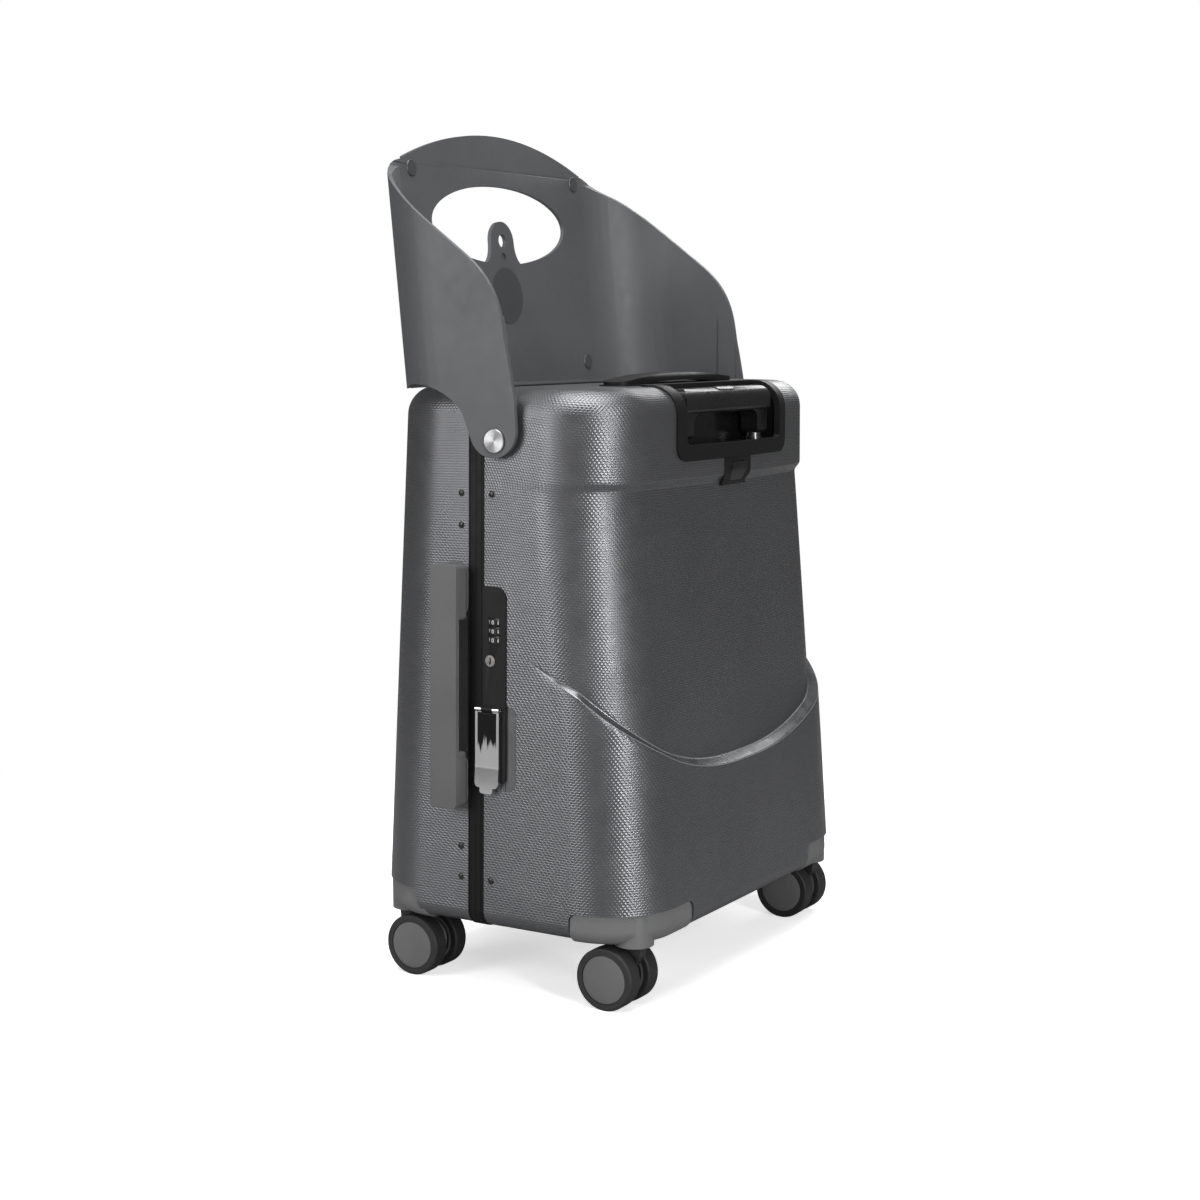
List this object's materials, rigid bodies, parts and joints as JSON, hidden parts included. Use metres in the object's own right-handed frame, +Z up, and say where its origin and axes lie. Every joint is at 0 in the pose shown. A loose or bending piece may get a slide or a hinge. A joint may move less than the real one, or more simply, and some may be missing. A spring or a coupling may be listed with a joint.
{
  "type": "ride on suitcase",
  "caption": "Hard shell cabin suitcase on swivel casters with a child seat that folds over its front, a telescopic pull handle, two carry handles and a combination latch.",
  "frame": {"origin": "on the floor under the middle of the case, where the wheels stand", "axes": "+Z up, -Y towards the front with the pull handle, +Y towards the backrest, -X towards the lock side"},
  "size_m": [0.4052, 0.2638, 0.6878],
  "materials": {
    "shell": "satin dark metallic grey with a fine pressed zigzag grain",
    "seat": "matte dark grey with a fine sand grain",
    "seat_trim": "matte dark grey",
    "guard": "matte mid grey",
    "frame": "satin black",
    "black_plastic": "satin black",
    "black_gloss": "gloss black",
    "button": "satin black",
    "tube": "satin",
    "steel": "brushed in circles",
    "chrome": "polished",
    "rivet": "satin black",
    "side_grip": "matte mid grey",
    "fork": "matte black",
    "hub": "matte mid grey",
    "tyre": "matte black",
    "rubber": "matte black"
  },
  "bodies": {
    "case": {"front_shell": "shell", "back_shell": "shell", "front_frame": "frame", "lid_frame": "frame", "frame_seal": "rubber", "frame_rivets": "rivet", "hinge_leaves": "steel", "hinge_pins": "steel", "lock_plate": "black_plastic", "latch_pin": "steel", "dial_axle": "steel", "side_handle_bases": "black_plastic", "side_feet": "rubber", "top_handle_tray": "black_plastic", "trolley_bezel": "black_plastic", "trolley_cup": "black_gloss", "outer_tubes": "tube", "tube_foot": "black_plastic", "pivot_pins": "steel", "pivot_discs": "steel", "pivot_washers": "rubber", "pivot_plates": "steel", "guard_fl": "guard", "guard_fr": "guard", "guard_rl": "guard", "guard_rr": "guard"},
    "latch": {"latch_lever": "chrome"},
    "dial_1": {"dial_1": "button"},
    "dial_2": {"dial_2": "button"},
    "dial_3": {"dial_3": "button"},
    "key": {"key_cylinder": "chrome"},
    "side_grip": {"side_handle": "side_grip"},
    "top_grip": {"top_handle": "black_plastic"},
    "stage_1": {"middle_tubes": "tube"},
    "stage_2": {"inner_tubes": "tube", "trolley_grip": "black_plastic"},
    "grip_push": {"grip_button": "button"},
    "release_push": {"seat_release": "button"},
    "seat": {"seat_shell": "seat", "seat_badge": "seat_trim", "seat_plugs": "seat_trim"},
    "fork_fl": {"fork_fl": "fork", "axle_fl": "steel"},
    "wheel_fl": {"hubs_fl": "hub", "tyres_fl": "tyre"},
    "fork_fr": {"fork_fr": "fork", "axle_fr": "steel"},
    "wheel_fr": {"hubs_fr": "hub", "tyres_fr": "tyre"},
    "fork_rl": {"fork_rl": "fork", "axle_rl": "steel"},
    "wheel_rl": {"hubs_rl": "hub", "tyres_rl": "tyre"},
    "fork_rr": {"fork_rr": "fork", "axle_rr": "steel"},
    "wheel_rr": {"hubs_rr": "hub", "tyres_rr": "tyre"}
  },
  "joints": [
    {"name": "seat_fold", "type": "hinge", "parent": "case", "child": "seat", "pos_m": [0, -0.0035, 0.44], "axis": [1, 0, 0], "range_deg": [0, 182]},
    {"name": "pull_stage_1", "type": "slide", "parent": "case", "child": "stage_1", "axis": [0, 0, 1], "range_m": [0, 0.26]},
    {"name": "pull_stage_2", "type": "slide", "parent": "stage_1", "child": "stage_2", "axis": [0, 0, 1], "range_m": [0, 0.26]},
    {"name": "grip_button", "type": "slide", "parent": "stage_2", "child": "grip_push", "axis": [0, 0, -1], "range_m": [0, 0.0025], "stiffness_N_per_m": 600},
    {"name": "seat_release", "type": "slide", "parent": "case", "child": "release_push", "axis": [0, 1, 0], "range_m": [0, 0.002], "stiffness_N_per_m": 600},
    {"name": "top_handle_lift", "type": "slide", "parent": "case", "child": "top_grip", "axis": [0, 0, 1], "range_m": [0, 0.008], "stiffness_N_per_m": 500},
    {"name": "side_handle_pull", "type": "slide", "parent": "case", "child": "side_grip", "axis": [-0.9999, 0, 0.0165], "range_m": [0, 0.008], "stiffness_N_per_m": 500},
    {"name": "latch_lever", "type": "hinge", "parent": "case", "child": "latch", "pos_m": [-0.1906, 0.0048, 0.23106], "axis": [0, 1, 0], "range_deg": [0, 110]},
    {"name": "dial_1", "type": "hinge", "parent": "case", "child": "dial_1", "pos_m": [-0.18197, 0.0005, 0.29953], "axis": [0.0165, 0, 0.9999], "continuous": true},
    {"name": "dial_2", "type": "hinge", "parent": "case", "child": "dial_2", "pos_m": [-0.18209, 0.0005, 0.29253], "axis": [0.0165, 0, 0.9999], "continuous": true},
    {"name": "dial_3", "type": "hinge", "parent": "case", "child": "dial_3", "pos_m": [-0.1822, 0.0005, 0.28553], "axis": [0.0165, 0, 0.9999], "continuous": true},
    {"name": "key_turn", "type": "hinge", "parent": "case", "child": "key", "pos_m": [-0.18648, 0.0039, 0.269], "axis": [-0.9999, 0, 0.0165], "range_deg": [0, 90]},
    {"name": "caster_fl_swivel", "type": "hinge", "parent": "case", "child": "fork_fl", "pos_m": [-0.1545, -0.1065, 0.051], "axis": [0, 0, 1], "continuous": true},
    {"name": "caster_fl_roll", "type": "hinge", "parent": "fork_fl", "child": "wheel_fl", "pos_m": [-0.1545, -0.0915, 0.025], "axis": [1, 0, 0], "continuous": true},
    {"name": "caster_fr_swivel", "type": "hinge", "parent": "case", "child": "fork_fr", "pos_m": [0.1545, -0.1065, 0.051], "axis": [0, 0, 1], "continuous": true},
    {"name": "caster_fr_roll", "type": "hinge", "parent": "fork_fr", "child": "wheel_fr", "pos_m": [0.1545, -0.0915, 0.025], "axis": [1, 0, 0], "continuous": true},
    {"name": "caster_rl_swivel", "type": "hinge", "parent": "case", "child": "fork_rl", "pos_m": [-0.1545, 0.1065, 0.051], "axis": [0, 0, 1], "continuous": true},
    {"name": "caster_rl_roll", "type": "hinge", "parent": "fork_rl", "child": "wheel_rl", "pos_m": [-0.1545, 0.0915, 0.025], "axis": [1, 0, 0], "continuous": true},
    {"name": "caster_rr_swivel", "type": "hinge", "parent": "case", "child": "fork_rr", "pos_m": [0.1545, 0.1065, 0.051], "axis": [0, 0, 1], "continuous": true},
    {"name": "caster_rr_roll", "type": "hinge", "parent": "fork_rr", "child": "wheel_rr", "pos_m": [0.1545, 0.0915, 0.025], "axis": [1, 0, 0], "continuous": true}
  ]
}
